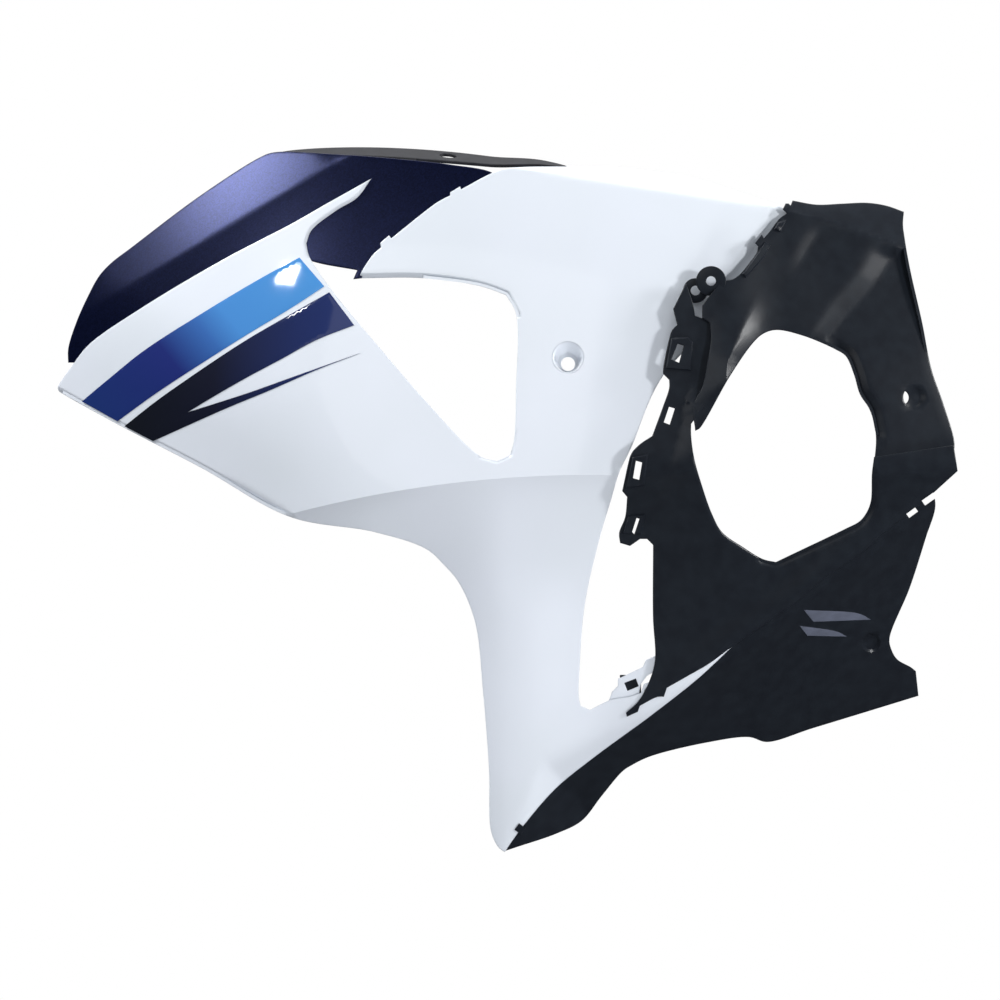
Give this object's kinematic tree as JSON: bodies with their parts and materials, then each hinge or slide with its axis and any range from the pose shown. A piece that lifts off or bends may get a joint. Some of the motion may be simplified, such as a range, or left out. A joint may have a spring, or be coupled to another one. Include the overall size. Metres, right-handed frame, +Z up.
{
  "type": "motorcycle fairing",
  "caption": "Left-hand side fairing of a sport motorcycle: painted outer cowl with a side vent, nose panel, rear and middle panels round the engine opening, and belly panel.",
  "frame": {"origin": "centre of the main bolt bore, on the floor of its cup", "axes": "+X rearward along the side, +Y inboard, +Z up; the outer face looks to -Y"},
  "size_m": [0.9049, 0.2963, 0.7072],
  "materials": {
    "white_paint": "white gloss lacquer on moulded ABS",
    "navy_paint": "navy metallic lacquer on moulded ABS",
    "matt_black": "matt moulded black",
    "grained_black": "fine grained moulded black ABS",
    "blue_film": "glossy vinyl film",
    "navy_film": "glossy vinyl film",
    "grey_film": "satin vinyl film",
    "zinc_steel": "zinc plated"
  },
  "bodies": {
    "root": {"main_cowl": "white_paint", "nose_panel": "navy_paint", "top_strip": "matt_black", "upper_rear_panel": "grained_black", "mid_panel": "grained_black", "under_cowl": "grained_black", "blue_stripe": "blue_film", "navy_stripe": "navy_film", "belly_darts": "grey_film", "nose_screws": "zinc_steel", "rim_screws": "zinc_steel", "seam_screws": "zinc_steel", "spike_screws": "zinc_steel", "belly_screws": "zinc_steel", "keel_screws": "zinc_steel", "strip_screws": "zinc_steel"}
  },
  "joints": []
}
